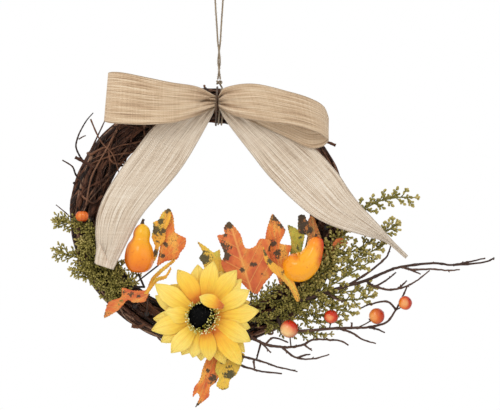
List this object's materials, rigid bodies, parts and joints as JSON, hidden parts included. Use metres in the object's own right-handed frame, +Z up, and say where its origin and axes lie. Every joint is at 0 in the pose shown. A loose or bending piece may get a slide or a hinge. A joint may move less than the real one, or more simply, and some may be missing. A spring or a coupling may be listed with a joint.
{
  "type": "harvest door wreath",
  "caption": "Harvest door wreath: a grapevine ring on a jute twine loop, with a burlap bow, a sunflower, gourds, autumn leaves, evergreen sprigs, twigs and berries.",
  "frame": {"origin": "the inside top of the twine loop, where it hangs over the door hook", "axes": "+Z up, +X to the right of someone who faces the door, +Y into the door; the wreath's front faces -Y"},
  "size_m": [0.4823, 0.0907, 0.476],
  "materials": {
    "vine_bark": "rough dark brown grapevine bark",
    "jute": "twisted jute twine",
    "burlap": "loose natural burlap with a wired edge",
    "tie_wire": "thin brown lacquered wire",
    "petal_fabric": "stiffened yellow polyester petals",
    "seed_dark": "dark pitted seed disc",
    "stamen": "pale yellow-green stamen tips",
    "stem_green": "green moulded stem",
    "gourd_skin": "glossy lacquered foam skin, orange to yellow",
    "stalk_brown": "dark brown stalk",
    "leaf_orange": "printed orange leaf fabric with dark blotches",
    "leaf_yellow": "printed yellow leaf fabric with dark blotches",
    "sprig_olive": "olive moulded evergreen",
    "twig_brown": "dark brown twig on wire",
    "berry_skin": "glossy orange-red lacquer",
    "glue_brown": "set hot-melt glue"
  },
  "bodies": {
    "hanger": {"twine_loop": "jute"},
    "knot": {"twine_knot": "jute"},
    "wreath": {"vine_core": "vine_bark", "vine_1": "vine_bark", "vine_2": "vine_bark", "vine_3": "vine_bark", "vine_4": "vine_bark", "vine_5": "vine_bark", "vine_6": "vine_bark", "binding_vines": "vine_bark", "tendrils": "vine_bark", "twine_wrap": "jute", "bow_left_loop": "burlap", "bow_right_loop": "burlap", "bow_left_tail_top": "burlap", "bow_right_tail_top": "burlap", "bow_tie_wire": "tie_wire", "sunflower_back_petals": "petal_fabric", "sunflower_front_petals": "petal_fabric", "sunflower_disc": "seed_dark", "sunflower_stamens": "stamen", "sunflower_calyx": "stem_green", "sunflower_stem": "stem_green", "gourd_left": "gourd_skin", "gourd_left_stalk": "stalk_brown", "gourd_right": "gourd_skin", "gourd_right_stalk": "stalk_brown", "gourd_picks": "twig_brown", "leaf_left_tall": "leaf_orange", "leaf_left_low": "leaf_orange", "leaf_left_yellow": "leaf_yellow", "leaf_centre_yellow": "leaf_yellow", "leaf_centre_large": "leaf_orange", "leaf_centre_right": "leaf_orange", "leaf_right_green": "leaf_yellow", "leaf_right_brown": "leaf_orange", "leaf_bottom_orange": "leaf_orange", "leaf_bottom_yellow": "leaf_yellow", "sprig_left_upper": "sprig_olive", "sprig_left_lower": "sprig_olive", "sprig_left_under": "sprig_olive", "sprig_right_top": "sprig_olive", "sprig_right_upper": "sprig_olive", "sprig_right_middle": "sprig_olive", "sprig_right_low": "sprig_olive", "sprig_right_inner": "sprig_olive", "sprig_right_bottom": "sprig_olive", "twig_spray_long": "twig_brown", "twig_spray_berries": "twig_brown", "twig_spray_low": "twig_brown", "twig_spray_bottom": "twig_brown", "berry_large": "berry_skin", "berry_near": "berry_skin", "berry_middle": "berry_skin", "berry_far": "berry_skin", "berry_pumpkin": "berry_skin", "glue_dabs": "glue_brown"},
    "left_tail": {"bow_left_tail": "burlap"},
    "right_tail": {"bow_right_tail": "burlap"}
  },
  "joints": [
    {"name": "wreath_turn", "type": "hinge", "parent": "hanger", "child": "knot", "pos_m": [0, 0, -0.1185], "axis": [0, 0, 1], "range_deg": [-90, 90]},
    {"name": "wreath_tilt", "type": "hinge", "parent": "knot", "child": "wreath", "pos_m": [0, 0, -0.1185], "axis": [-1, 0, 0], "range_deg": [-30, 60]},
    {"name": "left_tail_lift", "type": "hinge", "parent": "wreath", "child": "left_tail", "pos_m": [-0.052, -0.02009, -0.187], "axis": [-0.8337, 0.0577, 0.5492], "range_deg": [0, 50]},
    {"name": "right_tail_lift", "type": "hinge", "parent": "wreath", "child": "right_tail", "pos_m": [0.088, -0.02293, -0.214], "axis": [-0.637, -0.0806, -0.7666], "range_deg": [0, 50]}
  ]
}
